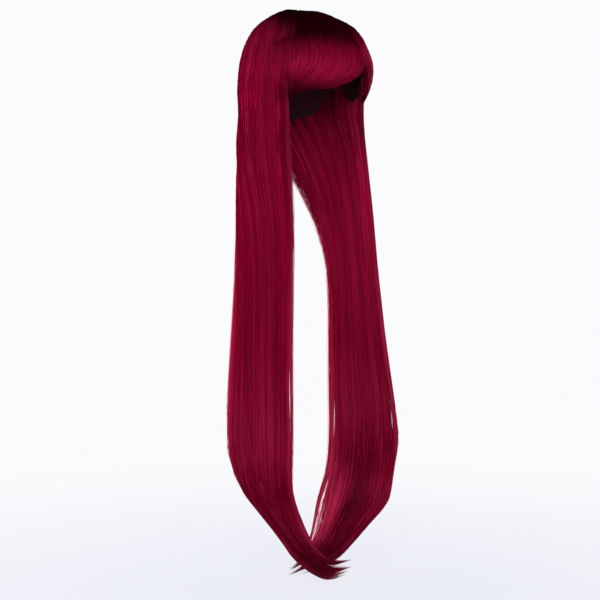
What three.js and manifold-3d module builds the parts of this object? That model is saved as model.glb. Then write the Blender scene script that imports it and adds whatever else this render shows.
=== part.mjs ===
// A long straight wig: a stretch cap, the hair over its crown, a fringe swept across the brow, a short
// lock at the left temple and two long hanks whose ends are swept together and cross.
//
// Millimetres, +Z up. The face looks along -Y and the wearer's left is +X. The origin is the point
// inside the cap where the top of the head bears.

import * as THREE from "three";
import { LoftGeometry } from "three/addons/geometries/LoftGeometry.js";
import { mergeVertices } from "three/addons/utils/BufferGeometryUtils.js";
import Module from "manifold-3d";

const wasm = await Module();
wasm.setup();

// Driving dimensions

// The head inside the cap: half sizes at its widest level, the rise from there to the top, and the depth
// of the half ellipsoid that tapers it towards the nape.
const HEAD = { halfWidth: 77, halfLength: 96, rise: 95, drop: 170 };
const CAP = { wall: 2, columns: 36, shares: [0, 0.2, 0.42, 0.63, 0.82, 1] };
const WHORL_Y = 22; // the crown's whorl, behind the top of the head
const PARTING_Z = -172; // level with the cap's nape: below it the hair hangs in two hanks
const PARTING_GAP = 0.3;

// Where the long hair starts in front and ends behind, in degrees round the head from the face. It passes
// the middle of the back a little, so that both sides grow into one. straight lists the stations after
// which it hangs straight.
const LONG_HAIR = { frontAngle: 55, backAngle: 182, locks: 7, straight: [6, 7, 8, 9] };
const FRINGE_LOCKS = 5;
const TEMPLE_LOCKS = 3;

// The cap's edge: how far down the head it reaches, as a polar angle from the top, at angles from the
// face.
const CAP_EDGE = [
  { angle: 0, polar: 66 },
  { angle: 35, polar: 72 },
  { angle: 66, polar: 99 },
  { angle: 78, polar: 101 },
  { angle: 98, polar: 92 },
  { angle: 135, polar: 108 },
  { angle: 180, polar: 115 },
];

// The long hair over the head. share runs from the whorl to the head's widest level; polar goes on below
// it. inner is the standoff of the hair's inner side from the head, clear of the cap.
const CROWN_ROWS = [
  { share: 0.03, inner: 3.5, thick: 9 },
  { share: 0.4, inner: 3.2, thick: 16 },
  { share: 0.72, inner: 3.2, thick: 19.5 },
  { share: 0.93, inner: 4.2, thick: 17.5 },
  { polar: 93, inner: 4, thick: 18 },
  { polar: 106, inner: 3.6, thick: 20 },
];

// The long hair below the head, a row for each section: its front and rear edges, how far its middle bows
// out, and its thickness.
const RIGHT_ROWS = [
  { front: [-73, -61, -205], rear: [-24, 101, -205], bow: 47, thick: 19 },
  { front: [-72, -63, -285], rear: [-65, 86, -285], bow: 27, thick: 20 },
  { front: [-72, -64, -385], rear: [-86, 65, -385], bow: 14, thick: 21 },
  { front: [-76, -66, -515], rear: [-96, 62, -515], bow: 10, thick: 21 },
  { front: [-74, -66, -645], rear: [-106, 57, -650], bow: 10, thick: 22 },
  { front: [-73, -61, -712], rear: [-99, 41, -716], bow: 9, thick: 21 },
  { front: [-57, -57, -752], rear: [-73, 22, -760], bow: 8, thick: 18 },
  { front: [-38, -55, -788], rear: [-50, 2, -799], bow: 6, thick: 15 },
  { front: [-17, -53, -816], rear: [-31, -16, -836], bow: 4, thick: 12 },
  { front: [14, -51, -836], rear: [0, -29, -867], bow: 2, thick: 9 },
  { front: [54, -47, -839], rear: [54, -37, -859], bow: 0, thick: 5 },
];
const LEFT_ROWS = [
  { front: [69, -61, -205], rear: [24, 101, -205], bow: 46, thick: 19 },
  { front: [76, -66, -285], rear: [70, 84, -285], bow: 25, thick: 20 },
  { front: [85, -69, -385], rear: [88, 54, -385], bow: 12, thick: 21 },
  { front: [103, -72, -515], rear: [84, 46, -515], bow: 10, thick: 21 },
  { front: [126, -73, -645], rear: [78, 36, -650], bow: 9, thick: 22 },
  { front: [119, -71, -708], rear: [64, 26, -712], bow: 8, thick: 21 },
  { front: [110, -65, -752], rear: [40, 15, -752], bow: 7, thick: 18 },
  { front: [86, -52, -788], rear: [23, 5, -786], bow: 5, thick: 15 },
  { front: [61, -33, -820], rear: [6, -3, -814], bow: 3, thick: 12 },
  { front: [34, -20, -846], rear: [-6, -1, -838], bow: 2, thick: 9 },
  { front: [-34, -9, -862], rear: [-38, -3, -851], bow: 0, thick: 5 },
];

// The fringe and the temple lock, from the whorl down. Each row gives the angle, and past the crown the
// polar angle, of the first and last lock, then the standoff of their inner side and their thickness.
const FRINGE_ROWS = [
  { share: 0.1, angle: [-49, 13], inner: 3, thick: 7.5 },
  { share: 0.4, angle: [-50, 13], inner: 3, thick: 9 },
  { share: 0.7, angle: [-50, 14], inner: 4, thick: 9.5 },
  { polar: [65, 70], angle: [-50, 16], inner: 6, thick: 13 },
  { polar: [77, 87], angle: [-50, 10], inner: 8, thick: 13 },
  { polar: [89, 95], angle: [-51, -15], inner: 8, thick: 11 },
  { polar: [98, 100], angle: [-52, -42], inner: 5, thick: 7 },
];
const TEMPLE_ROWS = [
  { share: 0.1, angle: [18, 50], inner: 3, thick: 7.5 },
  { share: 0.4, angle: [18, 50], inner: 3, thick: 7.5 },
  { share: 0.7, angle: [19, 50], inner: 4, thick: 9.5 },
  { polar: [72, 72], angle: [21, 50], inner: 6, thick: 15 },
  { polar: [86, 86], angle: [26, 50], inner: 6, thick: 15 },
  { polar: [95, 96], angle: [36, 50], inner: 4, thick: 12 },
  { polar: [101, 103], angle: [43, 50], inner: 2.5, thick: 6 },
];

// A lock's section: places across it and through its thickness, each from -1 to 1.
const LOCK_SECTION = [
  { across: 1, depth: 0 },
  { across: 0.6, depth: 1 },
  { across: -0.6, depth: 1 },
  { across: -1, depth: 0 },
  { across: -0.6, depth: -1 },
  { across: 0.6, depth: -1 },
];
const LOCK_OVERLAP = 1.25; // a lock's width over the spacing of the locks, so that neighbours grow together
const LOCK_SPANS = [
  { start: 0, end: 0.97 },
  { start: 0.006, end: 1 },
  { start: 0.003, end: 0.985 },
  { start: 0.009, end: 0.96 },
]; // where locks start and end along their route, in turn
const TIP = { length: 0.12, share: 0.16 }; // the tapered part of a lock, and what is left of its section
const EDGE = { width: 0.22, share: 0.36 }; // hair is thinner this close to a free edge

const HAIR_FINISH = { color: 0x7a0c2a, roughness: 0.4 };
const CAP_FINISH = { color: 0x2a0a12, roughness: 0.9 };

// Points on the head

const radians = THREE.MathUtils.degToRad;
const mix = THREE.MathUtils.lerp;

/** The head's surface at an angle from the face and a polar angle from the top, moved out by standoff. */
function headPoint(angle, polar, standoff) {
  const depth = polar < 90 ? HEAD.rise : HEAD.drop;
  const ring = Math.sin(radians(polar));
  return new THREE.Vector3(
    (HEAD.halfWidth + standoff) * ring * Math.sin(radians(angle)),
    -(HEAD.halfLength + standoff) * ring * Math.cos(radians(angle)),
    (depth + standoff) * Math.cos(radians(polar)) - HEAD.rise,
  );
}

/** A point of the crown, a share of the way from the whorl to the head's widest level. */
function crownPoint(angle, share, standoff) {
  const halfWidth = HEAD.halfWidth + standoff;
  const halfLength = HEAD.halfLength + standoff;
  const x = share * halfWidth * Math.sin(radians(angle));
  const y = mix(WHORL_Y, -halfLength * Math.cos(radians(angle)), share);
  const height = Math.sqrt(Math.max(0, 1 - (x / halfWidth) ** 2 - (y / halfLength) ** 2));
  return new THREE.Vector3(x, y, (HEAD.rise + standoff) * height - HEAD.rise);
}

/** The polar angle of the cap's edge at an angle from the face, eased from row to row. */
function capEdge(angle) {
  const turned = Math.abs(THREE.MathUtils.euclideanModulo(angle + 180, 360) - 180);
  const next = Math.max(1, CAP_EDGE.findIndex((row) => row.angle >= turned));
  const [from, to] = [CAP_EDGE[next - 1], CAP_EDGE[next]];
  return mix(from.polar, to.polar, THREE.MathUtils.smoothstep(turned, from.angle, to.angle));
}

// Solids

/** A closed geometry as a solid that can be joined and cut, without faces that closed up to a line. */
function toSolid(geometry) {
  const bare = new THREE.BufferGeometry().setAttribute("position", geometry.getAttribute("position"));
  const merged = mergeVertices(bare.setIndex(geometry.index));
  const corners = merged.index.array;
  const faces = [];
  for (let i = 0; i < corners.length; i += 3) {
    const face = corners.slice(i, i + 3);
    if (new Set(face).size === 3) faces.push(...face);
  }
  const vertProperties = merged.getAttribute("position").array;
  const triVerts = new Uint32Array(faces);
  return new wasm.Manifold(new wasm.Mesh({ numProp: 3, vertProperties, triVerts }));
}

/** A solid as a geometry with flat faces. */
function toGeometry(solid) {
  const { vertProperties, triVerts } = solid.getMesh();
  const geometry = new THREE.BufferGeometry();
  geometry.setAttribute("position", new THREE.BufferAttribute(vertProperties, 3));
  geometry.setIndex(new THREE.BufferAttribute(triVerts, 1));
  return geometry;
}

const join = (solids) => solids.reduce((whole, solid) => whole.add(solid));

/** The cap: a wall that runs from its top down the inside to the edge and back up the outside. */
function capSolid() {
  const ring = (share, standoff) =>
    Array.from({ length: CAP.columns }, (_, column) => {
      const angle = (column / CAP.columns) * 360;
      return headPoint(angle, share * capEdge(angle), standoff);
    });
  const inside = CAP.shares.map((share) => ring(share, 0));
  const outside = CAP.shares.map((share) => ring(share, CAP.wall)).reverse();
  return toSolid(new LoftGeometry([...inside, ...outside]));
}

// Stations: each is a function from a place across the hair, 0 to 1, and a depth, -1 inside to 1 outside,
// to a point. A lock's route is a smooth curve through its points at all stations.

/** How much of its thickness the hair keeps at a place across it: less at the free edges. */
function edgeShare(across, freeRear) {
  const fromEdge = freeRear ? Math.min(across, 1 - across) : across;
  return mix(EDGE.share, 1, THREE.MathUtils.smoothstep(fromEdge, 0, EDGE.width));
}

/** The stations of the long hair over the head, on the side -1, the right, or 1, the left. */
function crownStations(side) {
  return CROWN_ROWS.map(({ share, polar, inner, thick }) => (across, depth) => {
    const angle = side * mix(LONG_HAIR.frontAngle, LONG_HAIR.backAngle, across);
    const standoff = inner + (thick * edgeShare(across, false) * (1 + depth)) / 2;
    return share ? crownPoint(angle, share, standoff) : headPoint(angle, polar, standoff);
  });
}

/** The stations of the long hair below the head, from its rows. */
function hankStations(side, rows) {
  const fronts = rows.map((row) => new THREE.Vector3(...row.front));
  const rears = rows.map((row) => new THREE.Vector3(...row.rear));
  const middles = rows.map((_, i) => fronts[i].clone().lerp(rears[i], 0.5));
  return rows.map((row, i) => {
    const [front, rear] = [fronts[i], rears[i]];
    const upwards = middles[Math.max(0, i - 1)].clone().sub(middles[Math.min(rows.length - 1, i + 1)]);
    const outwards = upwards.cross(rear.clone().sub(front)).normalize().multiplyScalar(-side);
    return (across, depth) => {
      const bow = row.bow * 4 * across * (1 - across);
      const offset = bow + (row.thick * edgeShare(across, true) * depth) / 2;
      return front.clone().lerp(rear, across).addScaledVector(outwards, offset);
    };
  });
}

/** The stations of shorter hair that lies on the head, from its rows. */
function headStations(rows) {
  return rows.map(({ share, polar, angle, inner, thick }) => (across, depth) => {
    const place = mix(...angle, across);
    const standoff = inner + (thick * (1 + depth)) / 2;
    return share ? crownPoint(place, share, standoff) : headPoint(place, mix(...polar, across), standoff);
  });
}

// Locks

/** A lock's sections as shares of its route: at each station, and halfway on where the route bends. */
function sectionPlaces(stationCount, straight) {
  const last = stationCount - 1;
  const places = [];
  for (let station = 0; station < last; station += 1) {
    places.push(station / last);
    if (!straight.includes(station)) places.push((station + 0.5) / last);
  }
  return [...places, 1];
}

/** The sections in the order that a loft needs, counterclockwise as seen from the tip. */
function wound(sections) {
  const middle = sections.length >> 1;
  const [section, next] = [sections[middle], sections[middle + 1]];
  const facing = new THREE.Triangle(section[0], section[2], section[4]).getNormal(new THREE.Vector3());
  if (facing.dot(next[0].clone().sub(section[0])) < 0) sections.forEach((ring) => ring.reverse());
  return sections;
}

/** One lock as a solid: a section swept along its route, narrowing to its tip. */
function lockSolid(stations, lock, places) {
  const route = (across, depth) =>
    new THREE.CatmullRomCurve3(stations.map((station) => station(across, depth)), false, "catmullrom");
  const spine = route(lock.across, 0);
  const edges = LOCK_SECTION.map(({ across, depth }) => route(lock.across + across * lock.halfSpan, depth));
  const sections = places.map((place) => {
    const along = mix(lock.start, lock.end, place);
    const taper = mix(1, TIP.share, THREE.MathUtils.smoothstep(place, 1 - TIP.length, 1));
    return edges.map((edge) => spine.getPoint(along).lerp(edge.getPoint(along), taper));
  });
  return toSolid(new LoftGeometry(wound(sections), { capStart: true, capEnd: true }));
}

/** A row of locks side by side, grown together. firstSpan is the span of its first lock. */
function lockRow(stations, count, firstSpan, straight = []) {
  const places = sectionPlaces(stations.length, straight);
  const locks = Array.from({ length: count }, (_, i) => ({
    across: (i + 0.5) / count,
    halfSpan: (LOCK_OVERLAP * 0.5) / count,
    ...LOCK_SPANS[(i + firstSpan) % LOCK_SPANS.length],
  }));
  return join(locks.map((lock) => lockSolid(stations, lock, places)));
}

/** The long hair of a side, one run of locks from the whorl to the tips, parted level with the nape. */
function longHair(side, rows, firstSpan) {
  const stations = [...crownStations(side), ...hankStations(side, rows)];
  const whole = lockRow(stations, LONG_HAIR.locks, firstSpan, LONG_HAIR.straight);
  return {
    crown: whole.trimByPlane([0, 0, 1], PARTING_Z),
    hank: whole.trimByPlane([0, 0, -1], PARTING_GAP - PARTING_Z),
  };
}

const right = longHair(-1, RIGHT_ROWS, 0);
const left = longHair(1, LEFT_ROWS, 1);

// The assembly

const wig = new THREE.Group();

/** Adds a solid to the wig as a named mesh in a finish of its own. */
function addPiece(name, solid, { color, roughness }) {
  const material = new THREE.MeshStandardMaterial({ color, roughness, metalness: 0 });
  const mesh = new THREE.Mesh(toGeometry(solid), material);
  mesh.name = name;
  wig.add(mesh);
}

addPiece("cap", capSolid(), CAP_FINISH);
addPiece("crown_hair", right.crown.add(left.crown), HAIR_FINISH);
addPiece("hank_right", right.hank, HAIR_FINISH);
addPiece("hank_left", left.hank, HAIR_FINISH);
addPiece("fringe", lockRow(headStations(FRINGE_ROWS), FRINGE_LOCKS, 0), HAIR_FINISH);
addPiece("temple_lock", lockRow(headStations(TEMPLE_ROWS), TEMPLE_LOCKS, 1), HAIR_FINISH);

export default wig;
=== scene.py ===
"""A very long straight burgundy wig: stretch cap, under-hair, fine strands, studio and camera.

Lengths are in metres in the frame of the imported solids: +Z up, the face along -Y, the wearer's
left along +X, the origin inside the top of the cap.
"""

from __future__ import annotations

import logging
import math
from abc import ABC, abstractmethod
from dataclasses import dataclass, field, replace
from enum import Enum
from typing import Any, Sequence, Union

import bmesh
import bpy
import numpy as np
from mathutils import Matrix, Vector

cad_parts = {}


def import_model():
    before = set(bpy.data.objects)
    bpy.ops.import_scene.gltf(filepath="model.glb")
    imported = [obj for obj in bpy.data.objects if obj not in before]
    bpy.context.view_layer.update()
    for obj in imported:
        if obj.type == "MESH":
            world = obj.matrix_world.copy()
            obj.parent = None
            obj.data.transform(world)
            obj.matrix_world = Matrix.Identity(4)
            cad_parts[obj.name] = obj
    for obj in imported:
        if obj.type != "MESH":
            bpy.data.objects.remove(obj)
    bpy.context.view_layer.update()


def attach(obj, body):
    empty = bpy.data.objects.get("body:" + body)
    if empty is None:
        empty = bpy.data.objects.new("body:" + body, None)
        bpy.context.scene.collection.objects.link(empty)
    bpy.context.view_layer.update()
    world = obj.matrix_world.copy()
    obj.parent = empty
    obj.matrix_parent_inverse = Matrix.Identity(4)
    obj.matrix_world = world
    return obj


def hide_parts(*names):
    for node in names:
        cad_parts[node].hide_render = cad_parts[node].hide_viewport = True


LOG = logging.getLogger("wig")
MM = 0.001
MAP_NAME = "OFBake"
SEED = 20
# How far past its last row hair is drawn, as a share of its length.
PAST_TIP = 1.035
# The colour sockets of a Mix node, which lists a set for each kind of data.
MIX_FIRST, MIX_LAST, MIX_RESULT = 6, 7, 2

Array = np.ndarray
Numbers = Union[float, Array]
Triple = tuple[float, float, float]
Pair = tuple[float, float]
Colour = Union[Triple, bpy.types.NodeSocket]
Inputs = dict[Union[str, int], Any]


def smooth_step(value: Numbers, low: float, high: float) -> Array:
    """Rises smoothly from 0 at low to 1 at high.

    Args:
        value: the number or numbers to ease.
        low: where the rise starts.
        high: where it ends.

    Returns:
        The eased numbers.
    """
    t = np.clip((np.asarray(value, float) - low) / (high - low), 0.0, 1.0)
    return t * t * (3.0 - 2.0 * t)


def mix(first: Numbers, last: Numbers, share: Numbers) -> Numbers:
    """The number that is share of the way from first to last."""
    return first + (last - first) * share


def unit(vectors: Array) -> Array:
    """The same directions with a length of 1."""
    length = np.linalg.norm(vectors, axis=-1, keepdims=True)
    return vectors / np.maximum(length, 1e-12)


class Side(Enum):
    """The wearer's two sides, as the sign of X."""

    RIGHT = -1
    LEFT = 1


class Layer(Enum):
    """Where in the thickness of the hair a strand lies."""

    OUTER = 1
    INNER = -1
    THROUGH = 0


class Slot(Enum):
    """The record's material slots."""

    HAIR = "hair"
    CAP = "cap"


# Shader graphs


class Wire:
    """A number in a shader: an expression on wires adds the Math nodes it needs."""

    def __init__(self, graph: Graph, socket: bpy.types.NodeSocket) -> None:
        """Keeps the graph and the output socket."""
        self.graph = graph
        self.socket = socket

    def math(self, operation: str, *others: Union[Wire, float], swap: bool = False) -> Wire:
        """Adds one Math node.

        Args:
            operation: the node's operation.
            others: the node's other values.
            swap: puts this value second, for the reflected operators.

        Returns:
            The node's result.
        """
        values = [self, *others]
        if swap:
            values.reverse()
        inputs = {place: value for place, value in enumerate(values)}
        node = self.graph.node("ShaderNodeMath", {"operation": operation}, inputs)
        return Wire(self.graph, node.outputs[0])

    def __add__(self, other: Union[Wire, float]) -> Wire:
        """This plus other."""
        return self.math("ADD", other)

    def __radd__(self, other: float) -> Wire:
        """The number other plus this."""
        return self.math("ADD", other, swap=True)

    def __sub__(self, other: Union[Wire, float]) -> Wire:
        """This less other."""
        return self.math("SUBTRACT", other)

    def __rsub__(self, other: float) -> Wire:
        """The number other less this."""
        return self.math("SUBTRACT", other, swap=True)

    def __mul__(self, other: Union[Wire, float]) -> Wire:
        """This times other."""
        return self.math("MULTIPLY", other)

    def __rmul__(self, other: float) -> Wire:
        """The number other times this."""
        return self.math("MULTIPLY", other, swap=True)

    def sine(self) -> Wire:
        """The sine of this."""
        return self.math("SINE")

    def eased(self, low: float, high: float) -> Wire:
        """Rises smoothly from 0 at low to 1 at high, or falls where high is the lesser.

        Args:
            low: where the result is 0.
            high: where it is 1.

        Returns:
            The eased number.
        """
        settings = {"interpolation_type": "SMOOTHSTEP"}
        inputs = {"Value": self, "From Min": low, "From Max": high}
        node = self.graph.node("ShaderNodeMapRange", settings, inputs)
        return Wire(self.graph, node.outputs[0])


class Graph:
    """The node tree of a material or of the world."""

    def __init__(self, tree: bpy.types.NodeTree) -> None:
        """Keeps the tree, emptied."""
        self.tree = tree
        tree.nodes.clear()

    @classmethod
    def of_material(cls, name: str) -> tuple[bpy.types.Material, Graph]:
        """Makes a node material.

        Args:
            name: the material's name.

        Returns:
            The material and its empty graph.
        """
        made = bpy.data.materials.new(name)
        made.use_nodes = True
        return made, cls(made.node_tree)

    def node(
        self,
        kind: str,
        settings: dict[str, Any] | None = None,
        inputs: Inputs | None = None,
    ) -> bpy.types.Node:
        """Adds a node.

        Args:
            kind: the node's type.
            settings: its properties, with "stops" for a ramp's (place, colour) pairs.
            inputs: the value, Wire or output socket of each input, by name or number.

        Returns:
            The node.
        """
        made = self.tree.nodes.new(kind)
        for name, value in (settings or {}).items():
            if name == "stops":
                self.set_stops(made.color_ramp, value)
            else:
                setattr(made, name, value)
        for name, value in (inputs or {}).items():
            target = made.inputs[name]
            if isinstance(value, Wire):
                self.tree.links.new(value.socket, target)
            elif isinstance(value, bpy.types.NodeSocket):
                self.tree.links.new(value, target)
            else:
                target.default_value = value
        return made

    @staticmethod
    def set_stops(ramp: bpy.types.ColorRamp, stops: Sequence[tuple[float, Triple]]) -> None:
        """Gives a ramp its stops.

        Args:
            ramp: the ramp, which starts with two stops.
            stops: two or more (place, colour) pairs.
        """
        while len(ramp.elements) < len(stops):
            ramp.elements.new(0.5)
        for element, (place, colour) in zip(ramp.elements, stops):
            element.position = place
            element.color = (*colour, 1.0)

    def wire(self, node: bpy.types.Node, name: str) -> Wire:
        """The named output of a node as a number."""
        return Wire(self, node.outputs[name])

    def map_place(self, length: float = 1.0) -> tuple[Wire, Wire]:
        """The place on the piece's own map.

        Args:
            length: how far along the top of the map lies.

        Returns:
            The place across the piece, and along it from the root.
        """
        place = self.node("ShaderNodeUVMap", {"uv_map": MAP_NAME})
        parts = self.node("ShaderNodeSeparateXYZ", None, {0: place.outputs["UV"]})
        return self.wire(parts, "X"), self.wire(parts, "Y") * length

    def grain(self, across: Wire, along: Wire, scale: Pair, detail: float) -> Wire:
        """Noise drawn out along the hair.

        Args:
            across: the place across the hair.
            along: the place along it.
            scale: cells across and along.
            detail: finer octaves.

        Returns:
            The noise, about 0 to 1.
        """
        place = self.node(
            "ShaderNodeCombineXYZ", None, {"X": across * scale[0], "Y": along * scale[1]}
        )
        noise = self.node(
            "ShaderNodeTexNoise",
            {"noise_dimensions": "2D"},
            {"Vector": place.outputs[0], "Scale": 1.0, "Detail": detail},
        )
        return self.wire(noise, "Fac")

    def ramp(self, tone: Wire, tones: Sequence[float], colours: Sequence[Triple]) -> Colour:
        """Turns a tone into a colour.

        Args:
            tone: the place on the ramp.
            tones: where the ramp's stops are.
            colours: the colour at each stop.

        Returns:
            The colour's socket.
        """
        stops = tuple(zip(tones, colours))
        return self.node("ShaderNodeValToRGB", {"stops": stops}, {"Fac": tone}).outputs["Color"]

    def blend(self, share: Wire, first: Colour, last: Colour) -> Colour:
        """Mixes two colours.

        Args:
            share: how much there is of the last.
            first: the colour at 0.
            last: the colour at 1.

        Returns:
            The mixed colour's socket.
        """
        inputs: Inputs = {"Factor": share}
        for place, colour in ((MIX_FIRST, first), (MIX_LAST, last)):
            inputs[place] = (*colour, 1.0) if isinstance(colour, tuple) else colour
        node = self.node("ShaderNodeMix", {"data_type": "RGBA"}, inputs)
        return node.outputs[MIX_RESULT]

    def relief(self, height: Wire, strength: float, depth: float) -> bpy.types.NodeSocket:
        """Raises a surface.

        Args:
            height: how high each place is.
            strength: how much of the relief shows.
            depth: the relief's depth.

        Returns:
            The normal's socket.
        """
        inputs = {"Height": height, "Strength": strength, "Distance": depth}
        return self.node("ShaderNodeBump", None, inputs).outputs["Normal"]

    def surface(self, inputs: Inputs) -> None:
        """Ends a material with a Principled shader of these inputs."""
        shader = self.node("ShaderNodeBsdfPrincipled", None, inputs)
        self.node("ShaderNodeOutputMaterial", None, {"Surface": shader.outputs[0]})


@dataclass(frozen=True)
class HemShade:
    """Painted shade that darkens hair towards its ends, where it turns away from the lamps, along
    a line that may slant across it.
    """

    start: float
    end: float
    amount: float
    slant: float = 0.0

    def shade(self, across: Wire, along: Wire) -> Wire:
        """How much painted shade there is, 0 to 1."""
        return (along + across * self.slant).eased(self.start, self.end) * self.amount


# A patch's slope that lies before the first edge, so that the patch is full all the way across.
WHOLE_WIDTH = (-1.0, 0.0)


@dataclass(frozen=True)
class Patch:
    """A soft patch of painted shade or painted light on hair: its slope across, then where along
    it starts, is fullest and ends.

    A second slope, until, ends the patch on its other side.
    """

    across: Pair
    along: Triple
    amount: float
    until: Pair | None = None

    def share(self, across: Wire, along: Wire) -> Wire:
        """How much of the patch there is.

        Args:
            across: the place across the hair.
            along: the place along it.

        Returns:
            0 outside the patch to its amount where it is fullest.
        """
        start, fullest, end = self.along
        swell = along.eased(start, fullest) * along.eased(end, fullest)
        if self.until:
            swell = swell * across.eased(*self.until)
        return across.eased(*self.across) * swell * self.amount


@dataclass(frozen=True)
class FibreFinish:
    """Glossy straight fibre in streaks of three reds.

    It carries painted shade at its root, towards its ends and in patches where shadow falls, and
    painted light in patches where light shines through thin hair or makes a sheen.
    """

    name: str
    # Patches of painted shade, where the hair lies in shadow.
    shade_patches: tuple[Patch, ...]
    # Patches of painted light: light through thin hair at the edges, and sheen bands.
    light_patches: tuple[Patch, ...] = ()
    # Painted shade towards the ends of the hair.
    hem: HemShade = HemShade(0.60, 0.94, 0.73)
    dark: Triple = (0.100, 0.0003, 0.009)
    middle: Triple = (0.160, 0.0007, 0.017)
    light: Triple = (0.245, 0.0035, 0.032)
    # Painted light: the pink that the light patches blend towards.
    lit: Triple = (0.60, 0.030, 0.105)
    # Painted shade: the near-black colour at the root stands in for the dark crown that no lamp
    # lights from above.
    root: Triple = (0.018, 0.0002, 0.0018)
    edge_tint: Triple = (1.0, 0.25, 0.42)
    tones: Triple = (0.28, 0.5, 0.74)
    # Where the root's painted shade fades along the hair, and how much further it reaches at the
    # front and back edges.
    root_shaded: Pair = (0.052, 0.143)
    front: float = 0.24
    front_root_shaded: float = 0.063
    back: Pair = (0.55, 0.95)
    back_root_shaded: float = 0.04
    ragged: float = 0.035
    streaks: Pair = (80.0, 2.0)
    streak_detail: float = 3.0
    drifts: Pair = (9.0, 2.2)
    drift_detail: float = 1.0
    drift_share: float = 0.25
    light_patch_streaks: Pair = (0.2, 0.7)
    gloss: float = 0.42
    gloss_spread: float = 0.22
    root_matt: float = 0.3
    lustre: float = 0.25
    shine: float = 0.0
    bump: float = 0.0
    bump_depth: float = 1.5 * MM
    under_bump: float = 0.5

    def material(self) -> bpy.types.Material:
        """Makes the material.

        Returns:
            The fibre as a node material that reads the piece's own map.
        """
        made, graph = Graph.of_material(self.name)
        across, along = graph.map_place(PAST_TIP)
        streak = graph.grain(across, along, self.streaks, self.streak_detail)
        past_root_shade = self.past_root_shade(across, along, streak)
        uneven = (streak - 0.5) * self.gloss_spread
        inputs: Inputs = {
            "Base Color": self.colour(across, along, streak, past_root_shade),
            "Roughness": uneven + (1.0 - past_root_shade) * self.root_matt + self.gloss,
            "Metallic": self.lustre,
            "Specular IOR Level": self.shine,
            "Specular Tint": (*self.edge_tint, 1.0),
        }
        if self.bump:
            inputs["Normal"] = graph.relief(streak, self.bump, self.bump_depth)
        graph.surface(inputs)
        return made

    def past_root_shade(self, across: Wire, along: Wire, streak: Wire) -> Wire:
        """How far the hair is past the painted shade at its root.

        Args:
            across: the place across the hair.
            along: the place along it.
            streak: the streaks, which make the edge of the root's painted shade ragged.

        Returns:
            0 at the root to 1 past it.
        """
        front = 1.0 - across.eased(0.0, self.front)
        length = along - front * self.front_root_shaded + across.eased(*self.back) * self.back_root_shaded
        return (length + (streak - 0.5) * self.ragged).eased(*self.root_shaded)

    def colour(self, across: Wire, along: Wire, streak: Wire, past_root_shade: Wire) -> Colour:
        """The colour of the hair.

        Args:
            across: the place across the hair.
            along: the place along it.
            streak: the streaks.
            past_root_shade: how far the hair is past the painted shade at its root.

        Returns:
            The colour's socket.
        """
        graph = across.graph
        drift = graph.grain(across, along, self.drifts, self.drift_detail)
        tone = streak + (drift - 0.5) * self.drift_share
        reds = graph.ramp(tone, self.tones, (self.dark, self.middle, self.light))
        # Painted shade: the root, the ends and each shade patch pull the reds towards the root's
        # near-black.
        unshaded = past_root_shade * past_root_shade * (1.0 - self.hem.shade(across, along))
        for shade_patch in self.shade_patches:
            unshaded = unshaded * (1.0 - shade_patch.share(across, along))
        colour = graph.blend(unshaded, self.root, reds)
        # Painted light: each light patch pulls the lighter streaks towards the lit pink.
        for patch in self.light_patches:
            share = patch.share(across, along) * streak.eased(*self.light_patch_streaks)
            colour = graph.blend(share, colour, self.lit)
        return colour

    def under(self) -> FibreFinish:
        """The same fibre for the body under the strands, with its streaks in relief."""
        return replace(self, name=f"{self.name}_under", bump=self.under_bump)


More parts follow.
